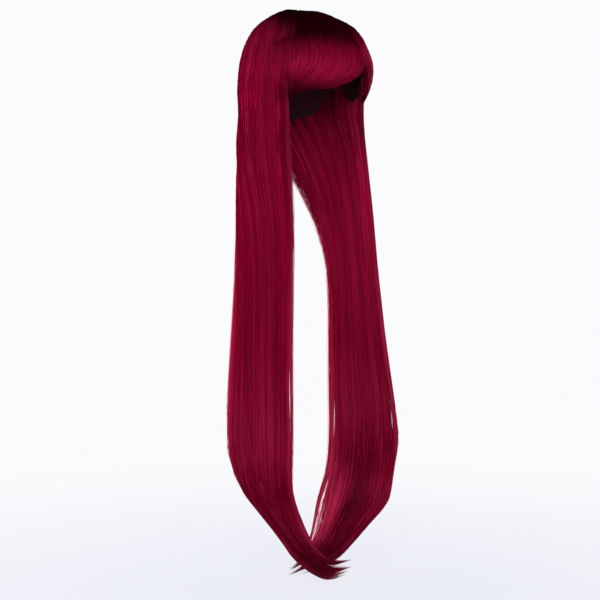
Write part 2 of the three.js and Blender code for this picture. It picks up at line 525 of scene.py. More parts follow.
class Fibre(Enum):
    """The finishes of the hair."""

    # Painted shade in patches at the front edge, where the fringe's end and the head leave it in
    # shadow; painted light along both edges, low on the hank, at the crown, in a sheen band and
    # at the tips.
    RIGHT = FibreFinish(
        "right_fibre",
        (
            Patch((0.13, 0.0), (0.235, 0.275, 0.31), 0.64),
            Patch((0.14, 0.0), (0.27, 0.34, 0.48), 0.35),
        ),
        (
            Patch((0.05, 0.0), (0.42, 0.58, 0.72), 0.6),
            Patch((0.78, 0.93), (0.37, 0.46, 0.85), 0.7),
            Patch((0.52, 0.82), (0.72, 0.86, 1.5), 0.34),
            Patch((0.16, 0.0), (0.70, 0.81, 0.97), 0.40),
            Patch(WHOLE_WIDTH, (0.08, 0.16, 0.27), 0.13),
            Patch(WHOLE_WIDTH, (0.56, 0.625, 0.69), 0.16),
            Patch(WHOLE_WIDTH, (0.90, 1.0, 1.2), 0.45),
        ),
    )
    # Painted shade in a patch at the front edge, in the gap behind the temple lock; painted light
    # along both edges, in a sheen band and at the tips.
    LEFT = FibreFinish(
        "left_fibre",
        (Patch((0.06, 0.0), (0.2, 0.235, 0.28), 0.5),),
        (
            Patch((0.05, 0.0), (0.45, 0.61, 0.7), 0.55),
            Patch((0.84, 0.96), (0.5, 0.78, 1.0), 1.0),
            Patch(WHOLE_WIDTH, (0.56, 0.625, 0.69), 0.14),
            Patch(WHOLE_WIDTH, (0.90, 1.0, 1.2), 0.45),
        ),
    )
    # The inner side of the hair: painted shade beside the head's place, at the front edge and low
    # on the hank, and towards the ends; painted light along both edges, low on the hank, in sheen
    # bands and at the tips.
    INNER = FibreFinish(
        "inner_fibre",
        (
            Patch((0.42, 0.1), (0.18, 0.235, 0.30), 0.75),
            Patch((0.18, 0.45), (0.2, 0.28, 0.44), 0.7),
            Patch((0.85, 0.7), (0.625, 0.665, 0.71), 0.18),
            Patch((0.26, 0.42), (0.61, 0.75, 0.92), 0.72, until=(0.70, 0.54)),
        ),
        (
            Patch((0.05, 0.0), (0.45, 0.61, 0.7), 0.55),
            Patch((0.80, 0.95), (0.5, 0.78, 1.0), 1.3),
            Patch((0.56, 0.84), (0.64, 0.77, 0.95), 0.9),
            Patch(WHOLE_WIDTH, (0.42, 0.5, 0.57), 0.06),
            Patch(WHOLE_WIDTH, (0.555, 0.605, 0.645), 0.20),
            Patch(WHOLE_WIDTH, (0.68, 0.72, 0.78), 0.13),
            Patch(WHOLE_WIDTH, (0.90, 1.0, 1.2), 0.45),
        ),
        HemShade(0.58, 0.92, 0.72),
        # Painted light: reds lighter than the outer hair's, standing in for light that the near
        # hank shades off this side.
        dark=(0.112, 0.0004, 0.010),
        middle=(0.182, 0.0012, 0.020),
        light=(0.285, 0.007, 0.040),
    )
    # Painted shade where the fringe's end tucks under the side hair and along its rolled-under
    # lower edge; painted light in a soft sheen over its lower half.
    FRINGE = FibreFinish(
        "fringe_fibre",
        (Patch((0.3, 0.0), (0.80, 0.96, 1.2), 0.72),),
        (
            Patch(WHOLE_WIDTH, (0.42, 0.66, 1.05), 0.09),
            Patch((0.20, 0.0), (0.46, 0.60, 0.92), 0.07),
        ),
        hem=HemShade(0.95, 1.14, 0.55, slant=0.35),
        root_shaded=(0.372, 0.538),
        front_root_shaded=0.0,
        back_root_shaded=0.0,
        ragged=0.12,
        streaks=(75.0, 2.0),
        shine=0.03,
    )
    # Painted shade on the lock's inner side, in the gap between it and the fringe, and towards
    # its ends; painted light in a faint sheen.
    TEMPLE = FibreFinish(
        "temple_fibre",
        (Patch((0.5, 0.0), (0.5, 0.66, 0.9), 0.55),),
        (Patch(WHOLE_WIDTH, (0.4, 0.7, 1.0), 0.06),),
        hem=HemShade(0.8, 1.0, 0.4),
        root_shaded=(0.24, 0.50),
        front_root_shaded=0.0,
        back_root_shaded=0.0,
        ragged=0.12,
        streaks=(25.0, 2.0),
        shine=0.03,
    )
    # Painted light: reds much lighter than the hair's, for light shining through the thin edge
    # strands and glinting on them; painted shade in patches near the edges and towards the ends,
    # and painted light at the front and rear edges.
    THIN_LIT = FibreFinish(
        "thin_lit_fibre",
        (
            Patch((0.13, 0.0), (0.235, 0.275, 0.31), 0.6),
            Patch((0.12, 0.0), (0.26, 0.34, 0.52), 0.55),
            Patch((0.97, 0.9), (0.38, 0.50, 0.61), 0.4),
            Patch((0.9, 0.97), (0.12, 0.3, 0.56), 0.6),
        ),
        (
            Patch((0.04, 0.0), (0.42, 0.60, 0.85), 0.8),
            Patch((0.92, 1.0), (0.37, 0.5, 1.0), 1.4),
        ),
        hem=HemShade(0.8, 1.0, 0.3),
        dark=(0.20, 0.0015, 0.020),
        middle=(0.33, 0.007, 0.045),
        light=(0.52, 0.030, 0.095),
    )


@dataclass(frozen=True)
class ClothFinish:
    """Matt stretch cloth with sewn rows round the head and a fine knit."""

    name: str
    thread: Triple = (0.030, 0.0035, 0.009)
    shade: Triple = (0.008, 0.0010, 0.003)
    tones: Pair = (0.2, 0.95)
    knit: Pair = (420.0, 120.0)
    knit_tone: float = 0.45
    knit_height: float = 0.4
    knit_sheen: float = 0.15
    sewn_rows: int = 15
    seam: Pair = (0.55, 1.0)
    seam_tone: float = 0.35
    worn: Pair = (14.0, 9.0)
    worn_detail: float = 4.0
    worn_tone: float = 0.5
    bump: float = 0.6
    bump_depth: float = 0.8 * MM
    roughness: float = 0.95
    shine: float = 0.1

    def material(self) -> bpy.types.Material:
        """Makes the material.

        Returns:
            The cloth as a node material that reads the piece's own map.
        """
        made, graph = Graph.of_material(self.name)
        round_head, down = graph.map_place()
        turn = 2.0 * math.pi
        ribs = (round_head * (self.knit[0] * turn)).sine()
        courses = (down * (self.knit[1] * turn)).sine()
        knit = ribs * courses * 0.5 + 0.5
        seam = (down * (self.sewn_rows * turn)).sine().eased(*self.seam)
        worn = graph.grain(round_head, down, self.worn, self.worn_detail)
        tone = knit * self.knit_tone + worn * self.worn_tone + seam * self.seam_tone
        height = knit * self.knit_height + seam
        graph.surface(
            {
                "Base Color": graph.ramp(tone, self.tones, (self.shade, self.thread)),
                "Roughness": self.roughness - knit * self.knit_sheen,
                "Normal": graph.relief(height, self.bump, self.bump_depth),
                "Specular IOR Level": self.shine,
            }
        )
        return made


@dataclass(frozen=True)
class FloorFinish:
    """Pale matt studio floor, faintly cloudy, that fades into the bright wall behind it."""

    name: str
    pale: Triple = (0.30, 0.305, 0.32)
    cloud: Triple = (0.275, 0.28, 0.30)
    faded: Triple = (0.0, 0.0, 0.0)
    near_glow: Triple = (0.505, 0.517, 0.605)
    far_glow: Triple = (0.957, 0.962, 0.972)
    fade: Pair = (0.35, 1.6)
    tones: Pair = (0.3, 0.7)
    cloud_scale: float = 0.6
    cloud_detail: float = 2.0
    roughness: float = 0.9

    def material(self) -> bpy.types.Material:
        """Makes the material.

        Returns:
            The floor's node material.
        """
        made, graph = Graph.of_material(self.name)
        place = graph.node("ShaderNodeTexCoord").outputs["Object"]
        clouds = graph.node(
            "ShaderNodeTexNoise",
            None,
            {"Vector": place, "Scale": self.cloud_scale, "Detail": self.cloud_detail},
        )
        near = graph.ramp(graph.wire(clouds, "Fac"), self.tones, (self.cloud, self.pale))
        reach = graph.node("ShaderNodeVectorMath", {"operation": "LENGTH"}, {0: place})
        far = graph.wire(reach, "Value").eased(*self.fade)
        graph.surface(
            {
                "Base Color": graph.blend(far, near, self.faded),
                "Roughness": self.roughness,
                "Specular IOR Level": 0.0,
                "Emission Color": graph.blend(far, self.near_glow, self.far_glow),
                "Emission Strength": 1.0,
            }
        )
        return made


# The lie of the hair


@dataclass(frozen=True)
class HeadForm:
    """The head that the cap is made for: a half ellipsoid over a deeper one."""

    half_width: float = 77 * MM
    half_length: float = 96 * MM
    rise: float = 95 * MM
    drop: float = 170 * MM
    whorl_y: float = 22 * MM

    def round_point(self, angle: Numbers, polar: Numbers, standoff: Numbers) -> Array:
        """A point off the head by its direction.

        Args:
            angle: degrees round the head from the face towards the wearer's left.
            polar: degrees down from the top.
            standoff: how far off the head.

        Returns:
            The points, with X, Y and Z on the last axis.
        """
        turn, tilt = np.radians(angle), np.radians(polar)
        depth = np.where(np.asarray(polar) < 90.0, self.rise, self.drop)
        x = (self.half_width + standoff) * np.sin(tilt) * np.sin(turn)
        y = -(self.half_length + standoff) * np.sin(tilt) * np.cos(turn)
        z = (depth + standoff) * np.cos(tilt) - self.rise
        return np.stack(np.broadcast_arrays(x, y, z), axis=-1)

    def crown_point(self, angle: Numbers, share: float, standoff: Numbers) -> Array:
        """A point on a straight line over the dome from the whorl.

        Args:
            angle: degrees round the head, as for round_point.
            share: how far from the whorl to the widest level.
            standoff: how far off the head.

        Returns:
            The points, with X, Y and Z on the last axis.
        """
        turn = np.radians(angle)
        wide, long = self.half_width + standoff, self.half_length + standoff
        x = share * wide * np.sin(turn)
        y = mix(self.whorl_y, -long * np.cos(turn), share)
        level = np.sqrt(np.maximum(0.0, 1.0 - (x / wide) ** 2 - (y / long) ** 2))
        z = (self.rise + standoff) * level - self.rise
        return np.stack(np.broadcast_arrays(x, y, z), axis=-1)

    def row_point(self, row: HeadRow, across: Array, angle: Numbers, standoff: Numbers) -> Array:
        """A point on a row of hair.

        Args:
            row: the row.
            across: the place across the hair.
            angle: degrees round the head, as for round_point.
            standoff: how far off the head.

        Returns:
            The points, with X, Y and Z on the last axis.
        """
        if row.share:
            return self.crown_point(angle, row.share, standoff)
        return self.round_point(angle, mix(*row.polar, across), standoff)


@dataclass(frozen=True)
class HeadRow:
    """One row of hair over the head, in mm and degrees: share is used where it isn't 0."""

    inner: float
    thick: float
    share: float = 0.0
    polar: Pair = (0.0, 0.0)
    angle: Pair = (55.0, 182.0)
    edge: Pair = (1.0, 1.0)


@dataclass(frozen=True)
class HankRow:
    """One row across a hank, in mm: its two ends, its bow and its thickness."""

    front: Triple
    rear: Triple
    bow: float
    thick: float


class HairFlow(ABC):
    """The lie of one mass of hair: across it, through it and along it from the root."""

    @abstractmethod
    def stations(self, across: Array, depth: Array) -> list[Array]:
        """The points where strands pass each row.

        Args:
            across: 0 to 1 over the width of the hair.
            depth: -1 on the inside to 1 on the outside.

        Returns:
            One array of points for each row, from the root to the tip.
        """

    def points(self, across: Array, depth: Array, along: Array) -> Array:
        """Points on smooth curves through the rows.

        Args:
            across: 0 to 1 over the width of the hair.
            depth: -1 on the inside to 1 on the outside.
            along: 0 at the root to 1 at the tip.

        Returns:
            The points, with X, Y and Z on the last axis.
        """
        rows = self.stations(across, depth)
        rows = [2 * rows[0] - rows[1], *rows, 2 * rows[-1] - rows[-2]]
        stack = np.stack(rows)
        place = np.clip(along, 0.0, PAST_TIP) * (len(rows) - 3)
        first = np.minimum(place.astype(int), len(rows) - 4)
        t = (place - first)[..., None]
        p0, p1, p2, p3 = (
            np.take_along_axis(stack, (first + step)[None, ..., None], axis=0)[0]
            for step in range(4)
        )
        bend = (2 * p0 - 5 * p1 + 4 * p2 - p3) * t**2 + (3 * p1 - p0 - 3 * p2 + p3) * t**3
        return 0.5 * (2 * p1 + (p2 - p0) * t + bend)


# A free edge's width, as a share of the hair's, and the share of the thickness that it keeps.
EDGE_WIDTH, EDGE_SHARE = 0.22, 0.36


def edge_share(from_edge: Array, least: float) -> Array:
    """How much of the full thickness there is near a mass's free edges.

    Args:
        from_edge: how far from the edge, as a share of the width.
        least: the share of the thickness at the edge itself.

    Returns:
        The share of the thickness.
    """
    return mix(least, 1.0, smooth_step(from_edge, 0.0, EDGE_WIDTH))


CROWN_ROWS = (
    HeadRow(3.5, 11.5, share=0.03, edge=(0.74, 0.6)),
    HeadRow(3.2, 15.0, share=0.4, edge=(0.8, 0.4)),
    HeadRow(3.2, 19.5, share=0.72, edge=(0.75, EDGE_SHARE)),
    HeadRow(4.2, 17.5, share=0.93, edge=(0.7, EDGE_SHARE)),
    HeadRow(4.0, 18.0, polar=(93.0, 93.0), angle=(60.0, 182.0), edge=(0.5, EDGE_SHARE)),
    HeadRow(3.6, 20.0, polar=(106.0, 106.0), angle=(60.0, 182.0), edge=(EDGE_SHARE, EDGE_SHARE)),
)


@dataclass(frozen=True)
class LongHair(HairFlow):
    """One side of the head from the whorl over the crown and down its hank."""

    side: Side
    hank: tuple[HankRow, ...]
    head: HeadForm = HeadForm()

    def stations(self, across: Array, depth: Array) -> list[Array]:
        """The crown's rows and then the hank's, as HairFlow says."""
        return self.crown_stations(across, depth) + self.hank_stations(across, depth)

    def crown_stations(self, across: Array, depth: Array) -> list[Array]:
        """The points where strands pass each row over the head.

        Args:
            across: 0 to 1 over the width of the hair.
            depth: -1 on the inside to 1 on the outside.

        Returns:
            One array of points for each row, from the root to the tip.
        """
        found = []
        for row in CROWN_ROWS:
            angle = self.side.value * mix(*row.angle, across)
            least = row.edge[0] if self.side is Side.RIGHT else row.edge[1]
            held = edge_share(across, least) * (1.0 + depth) / 2.0
            standoff = (row.inner + row.thick * held) * MM
            found.append(self.head.row_point(row, across, angle, standoff))
        return found

    def hank_stations(self, across: Array, depth: Array) -> list[Array]:
        """The points where strands pass each row down the hank.

        Args:
            across: 0 to 1 over the width of the hair.
            depth: -1 on the inside to 1 on the outside.

        Returns:
            One array of points for each row, from the root to the tip.
        """
        fronts = np.array([row.front for row in self.hank]) * MM
        rears = np.array([row.rear for row in self.hank]) * MM
        middles = (fronts + rears) / 2.0
        before = np.concatenate([middles[:1], middles[:-1]])
        after = np.concatenate([middles[1:], middles[-1:]])
        outwards = unit(np.cross(before - after, rears - fronts)) * -self.side.value
        held = edge_share(np.minimum(across, 1.0 - across), EDGE_SHARE) * depth / 2.0
        arch = 4.0 * across * (1.0 - across)
        found = []
        for row, front, rear, out in zip(self.hank, fronts, rears, outwards):
            off = (row.bow * arch + row.thick * held) * MM
            found.append(mix(front, rear, across[..., None]) + out * off[..., None])
        return found


@dataclass(frozen=True)
class ShortHair(HairFlow):
    """A mass of hair that lies on the head from the whorl forwards."""

    rows: tuple[HeadRow, ...]
    head: HeadForm = HeadForm()

    def stations(self, across: Array, depth: Array) -> list[Array]:
        """The points where strands pass each row over the head.

        Args:
            across: 0 to 1 over the width of the hair.
            depth: -1 on the inside to 1 on the outside.

        Returns:
            One array of points for each row, from the root to the tip.
        """
        found = []
        for row in self.rows:
            standoff = (row.inner + row.thick * (1.0 + depth) / 2.0) * MM
            found.append(self.head.row_point(row, across, mix(*row.angle, across), standoff))
        return found


RIGHT_HANK = (
    HankRow((-75, -59, -205), (-24, 101, -205), 44, 19),
    HankRow((-72, -63, -285), (-65, 86, -285), 24, 20),
    HankRow((-72, -64, -385), (-85, 64, -385), 14, 21),
    HankRow((-76, -66, -515), (-96, 62, -515), 10, 21),
    HankRow((-74, -66, -645), (-106, 57, -650), 10, 22),
    HankRow((-73, -61, -712), (-97, 40, -716), 9, 21),
    HankRow((-57, -57, -752), (-73, 22, -760), 8, 18),
    HankRow((-38, -55, -788), (-50, 2, -799), 6, 15),
    HankRow((-17, -53, -816), (-31, -16, -836), 4, 12),
    HankRow((14, -51, -838), (14, -30, -870), 2, 9),
    HankRow((55, -47, -840), (61, -37, -866), 0, 5),
)
LEFT_HANK = (
    HankRow((69, -61, -205), (24, 101, -205), 46, 19),
    HankRow((76, -66, -285), (70, 84, -285), 25, 20),
    HankRow((85, -69, -385), (88, 54, -385), 12, 21),
    HankRow((103, -72, -515), (84, 46, -515), 10, 21),
    HankRow((126, -73, -645), (78, 36, -650), 9, 22),
    HankRow((119, -71, -708), (64, 26, -712), 8, 21),
    HankRow((113, -67, -752), (40, 15, -752), 7, 18),
    HankRow((86, -52, -788), (23, 5, -786), 5, 15),
    HankRow((66, -33, -821), (6, -3, -814), 3, 12),
    HankRow((39, -21, -847), (-6, -1, -838), 2, 9),
    HankRow((-37, -9, -866), (-41, -3, -855), 0, 6),
)
FRINGE_ROWS = (
    HeadRow(3.0, 7.0, share=0.1, angle=(-49, 13)),
    HeadRow(3.0, 7.5, share=0.4, angle=(-50, 13)),
    HeadRow(4.0, 9.5, share=0.7, angle=(-50, 14)),
    HeadRow(6.0, 13.0, polar=(65, 70), angle=(-50, 16)),
    HeadRow(8.0, 13.0, polar=(77, 87), angle=(-50, 10)),
    HeadRow(8.0, 11.0, polar=(89, 95), angle=(-52, -15)),
    HeadRow(4.0, 5.5, polar=(102, 97), angle=(-57, -44)),
)
TEMPLE_ROWS = (
    HeadRow(3.0, 7.5, share=0.1, angle=(18, 50)),
    HeadRow(3.0, 6.0, share=0.4, angle=(18, 50)),
    HeadRow(4.0, 14.0, share=0.78, angle=(19, 50)),
    HeadRow(6.0, 13.4, polar=(72, 72), angle=(21, 50)),
    HeadRow(5.0, 14.6, polar=(86, 86), angle=(26, 51)),
    HeadRow(3.0, 12.0, polar=(95, 96), angle=(37, 54)),
    HeadRow(2.0, 6.5, polar=(101, 103), angle=(49, 60)),
)


# Pieces


def grooved(across: Array, locks: int, groove: float) -> Array:
    """How much of its thickness hair keeps, with a groove on each side of a lock.

    Args:
        across: the place across the hair.
        locks: how many locks lie side by side.
        groove: the share of the thickness that a groove takes.

    Returns:
        The share of the thickness that is left.
    """
    return 1.0 - groove * (0.5 + 0.5 * np.cos(2.0 * np.pi * locks * across))


def put(name: str, data: bpy.types.ID) -> bpy.types.Object:
    """Makes an object and puts it in the scene.

    Args:
        name: the object's name.
        data: its mesh, light or camera.

    Returns:
        The object.
    """
    made = bpy.data.objects.new(name, data)
    bpy.context.scene.collection.objects.link(made)
    return made


def mapped_grid(columns: int, rows: int) -> bmesh.types.BMesh:
    """A flat grid from 0 to 1 with room for a map.

    Args:
        columns: how many faces it has from side to side.
        rows: how many it has from end to end.

    Returns:
        The grid.
    """
    bm = bmesh.new()
    bmesh.ops.create_grid(bm, x_segments=columns, y_segments=rows, size=0.5)
    bmesh.ops.translate(bm, verts=bm.verts, vec=(0.5, 0.5, 0.0))
    bm.loops.layers.uv.new(MAP_NAME)
    return bm


def draw_map(bm: bmesh.types.BMesh, across: Pair, along: Pair) -> None:
    """Draws a grid's map while the grid still lies flat.

    Args:
        bm: the grid.
        across: where on the map its two sides lie.
        along: where on the map its two ends lie.
    """
    layer = bm.loops.layers.uv[MAP_NAME]
    for face in bm.faces:
        for loop in face.loops:
            x, y = loop.vert.co.xy
            loop[layer].uv = (mix(*across, x), mix(*along, y))


def lay(bm: bmesh.types.BMesh, places: Array, weld: float) -> None:
    """Lays a grid: moves its points, welds them where they meet and turns its faces outwards.

    Args:
        bm: the grid.
        places: the new place of each point.
        weld: how close points are welded.
    """
    for vert, place in zip(bm.verts, places):
        vert.co = place
    bmesh.ops.remove_doubles(bm, verts=bm.verts, dist=weld)
    bmesh.ops.recalc_face_normals(bm, faces=bm.faces)


def mesh_of(bm: bmesh.types.BMesh, name: str) -> bpy.types.Mesh:
    """Makes a mesh of a bmesh, and frees it.

    Args:
        bm: the bmesh.
        name: the mesh's name.

    Returns:
        The mesh.
    """
    mesh = bpy.data.meshes.new(name)
    bm.to_mesh(mesh)
    bm.free()
    return mesh


def settle(
    name: str,
    mesh: bpy.types.Mesh,
    material: bpy.types.Material,
    nodes: Sequence[str] = (),
) -> bpy.types.Object:
    """Puts a finished mesh in the scene as a piece of the wig.

    Args:
        name: the piece's name.
        mesh: its mesh, already in place.
        material: its finish.
        nodes: the solids that the piece stands for.

    Returns:
        The piece.
    """
    mesh.materials.append(material)
    mesh.polygons.foreach_set("use_smooth", np.ones(len(mesh.polygons), bool))
    piece = put(name, mesh)
    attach(piece, "root")
    if nodes:
        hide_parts(*nodes)
    mesh.calc_loop_triangles()
    LOG.info("%s: %d triangles", name, len(mesh.loop_triangles))
    return piece


@dataclass
class StretchCap:
    """The cap that carries the hair: a knitted dome with a rolled hem."""

    finish: ClothFinish
    head: HeadForm = HeadForm()
    wall: float = 1.6 * MM
    clear: float = 0.3 * MM
    weld: float = 0.05 * MM
    hem_from: float = 0.94
    hem_swell: float = 0.9 * MM
    columns: int = 120
    rows: int = 34
    edge: tuple[Pair, ...] = (
        (0, 66), (35, 72), (66, 99), (78, 101), (98, 92), (135, 108), (180, 115),
    )  # fmt: skip

    def edge_polar(self, angle: Array) -> Array:
        """How far down the edge comes.

        Args:
            angle: degrees round the head, -180 to 180.

        Returns:
            Degrees down from the top.
        """
        turn = np.abs(angle)
        polar = np.full_like(turn, self.edge[0][1])
        for (low, start), (high, end) in zip(self.edge, self.edge[1:]):
            polar = np.where(turn >= low, mix(start, end, smooth_step(turn, low, high)), polar)
        return polar

    def build(self) -> bpy.types.Object:
        """Bends a grid into the dome, closes it and gives it a wall.

        Returns:
            The piece.
        """
        bm = mapped_grid(self.columns, self.rows)
        draw_map(bm, (0.0, 1.0), (0.0, 1.0))
        flat = np.array([vert.co for vert in bm.verts])
        angle = mix(-180.0, 180.0, flat[:, 0])
        down = flat[:, 1]
        in_hem = np.clip((down - self.hem_from) / (1.0 - self.hem_from), 0.0, 1.0)
        standoff = self.clear + self.hem_swell * np.sin(np.pi * in_hem)
        dome = self.head.round_point(angle, down * self.edge_polar(angle), standoff)
        lay(bm, dome, self.weld)
        bmesh.ops.solidify(bm, geom=bm.faces[:], thickness=-self.wall)
        mesh = mesh_of(bm, "cap_cloth")
        return settle("cap_cloth", mesh, self.finish.material(), ("cap",))


@dataclass
class UnderHair:
    """The full body of one mass of hair, under its strands."""

    name: str
    flow: HairFlow
    fibre: Fibre
    locks: int
    nodes: tuple[str, ...]
    along: Pair = (0.0, 0.95)
    depth: float = 0.78
    groove: float = 0.12
    inset: Pair = (0.04, 0.12)
    loosens: Pair = (0.5, 0.6)
    thin_from: float = 0.7
    tip_inset: float = 0.42
    tip_flat: float = 0.7
    map_span: Pair = (0.02, 0.98)
    weld: float = 0.02 * MM
    columns: int = 56
    rows: int = 64

    def build(self) -> bpy.types.Object:
        """Thickens a grid and lays it along the hair.

        Returns:
            The piece.
        """
        bm = mapped_grid(self.columns, self.rows)
        bmesh.ops.recalc_face_normals(bm, faces=bm.faces)
        raised = bmesh.ops.extrude_face_region(bm, geom=bm.faces[:], use_keep_orig=True)
        lifted = [part for part in raised["geom"] if isinstance(part, bmesh.types.BMVert)]
        bmesh.ops.translate(bm, verts=lifted, vec=(0.0, 0.0, 1.0))
        root, tip = self.along
        draw_map(bm, self.map_span, (root / PAST_TIP, tip / PAST_TIP))
        flat = np.array([vert.co for vert in bm.verts])
        thinned = smooth_step(flat[:, 1], self.thin_from, 1.0)
        along = mix(*self.along, flat[:, 1])
        inset = mix(*self.inset, smooth_step(along, *self.loosens))
        inset = mix(inset, self.tip_inset, thinned)
        across = mix(inset, 1.0 - inset, flat[:, 0])
        ribs = grooved(across, self.locks, self.groove)
        depth = (flat[:, 2] * 2.0 - 1.0) * self.depth * ribs * (1.0 - self.tip_flat * thinned)
        lay(bm, self.flow.points(across, depth, along), self.weld)
        material = self.fibre.value.under().material()
        return settle(self.name, mesh_of(bm, self.name), material, self.nodes)


@dataclass(frozen=True)
class Slit:
    """A narrow gap between strands: its place across, half width, extent along and lean."""

    place: float
    half: float
    along: Pair
    lean: float = 0.0
    bluntness: float = 0.7
    spread: float = 3.0

    def opened(self, across: Array, along: Array, level: Array) -> Array:
        """Moves strands out of the gap.

        Args:
            across: the strands' places across the hair.
            along: their places along it.
            level: their places through it.

        Returns:
            The new places across.
        """
        low, high = self.along
        wide = np.sin(np.pi * np.clip((along - low) / (high - low), 0.0, 1.0)) ** self.bluntness
        away = across - self.place - self.lean * level
        push = self.half * wide * np.exp(-((away / (self.spread * self.half)) ** 2))
        return across + np.where(away < 0.0, -push, push)


@dataclass(frozen=True)
class StrandPlan:
    """How one set of strands lies: how many, where, how long, how loose."""

    count: int
    layer: Layer
    rings: int = 20
    across: Pair = (0.0, 1.0)
    fade: float = 1.0
    raised: float = 0.0
    sunk: float = 0.10
    deepest: float = 0.5
    start: Pair = (0.0, 0.004)
    reach: Pair = (0.93, 1.0)
    radius: float = 0.30 * MM
    radius_spread: Pair = (0.75, 1.25)
    taper: float = 0.92
    taper_from: float = 0.78
    root_share: float = 0.7
    root_end: float = 0.05
    ring_shift: float = 0.48
    locks: int = 7
    groove: float = 0.10
    wisps: int = 48
    wisp_core: Pair = (0.25, 0.75)
    gather: float = 0.6
    gather_from: float = 0.5
    flatten: float = 0.5
    wave: float = 0.006
    lift: float = 0.05
    pace: Pair = (0.7, 2.2)
    loosens: Pair = (0.02, 0.3)
    splay: float = 0.0
    splay_from: float = 0.86
    splay_through: float = 12.0
    lap: float = 0.0
    lap_width: float = 0.16
    lap_end: Pair = (0.13, 0.215)
    mingle: float = 0.003
    tips: tuple[Pair, ...] = ((0.10, 1.0), (0.42, 0.97), (0.62, 1.02), (0.88, 0.985))
    tip_pull: float = 0.0
    tip_from: float = 0.88
    tip_spread: float = 0.05
    last_tone: float = 0.985
    map_span: Pair = (0.004, 0.985)
    map_width: float = 0.004


@dataclass(frozen=True)
class Chances:
    """What chance gives the strands of a plan, and the wisps that they gather in."""

    home: Array
    wisp: Array
    core: Array
    swing: Array
    level: Array
    tip: Array
    step: Array
    along: Array
    phase: Array
    pace: Array
    radius: Array
    tone: Array

    @classmethod
    def drawn(cls, plan: StrandPlan, rng: np.random.Generator) -> Chances:
        """Draws the numbers of a plan, always in the same order.

        Args:
            plan: how the strands lie.
            rng: the seeded source of chance.

        Returns:
            The numbers.
        """
        count = plan.count
        home = mix(*plan.across, rng.uniform(0.0, 1.0, count) ** plan.fade)
        wisp = np.clip((home * plan.wisps).astype(int), 0, plan.wisps - 1)
        core = (np.arange(plan.wisps) + rng.uniform(*plan.wisp_core, plan.wisps)) / plan.wisps
        swing = rng.uniform(-1.0, 1.0, (plan.wisps, 2))
        wisp_reach = rng.uniform(0.0, 1.0, plan.wisps)
        sunk = np.minimum(np.abs(rng.normal(0.0, plan.sunk, count)), plan.deepest)
        level = plan.layer.value * (1.0 + plan.raised - sunk)
        if plan.layer is Layer.THROUGH:
            level = rng.uniform(-1.0, 1.0, count)
        start = rng.uniform(*plan.start, count)
        share = 0.5 * (wisp_reach[wisp] + rng.uniform(0.0, 1.0, count))
        tips = np.array(plan.tips)
        aim = home + rng.normal(0.0, plan.tip_spread, count)
        nearest = np.abs(aim[:, None] - tips[:, 0]).argmin(axis=1)
        reach = mix(*plan.reach, share) * mix(1.0, tips[nearest, 1], plan.tip_pull)
        shift = rng.uniform(-plan.ring_shift, plan.ring_shift, (count, 1))
        step = np.clip((np.arange(plan.rings) + shift) / (plan.rings - 1), 0.0, 1.0)
        step[:, 0], step[:, -1] = 0.0, 1.0
        # The last of the four columns isn't used: it keeps the later draws as they are.
        phase = rng.uniform(0.0, 2.0 * np.pi, (count, 4))
        pace = rng.uniform(*plan.pace, (count, 2))
        radius = plan.radius * rng.uniform(*plan.radius_spread, count)
        tone = np.abs(home + rng.normal(0.0, plan.mingle, count))
        return cls(
            home=home,
            wisp=wisp,
            core=core,
            swing=swing,
            level=level,
            tip=tips[nearest, 0],
            step=step,
            along=start[:, None] + (reach - start)[:, None] * step,
            phase=phase,
            pace=pace,
            radius=radius,
            tone=np.minimum(tone, plan.last_tone),
        )


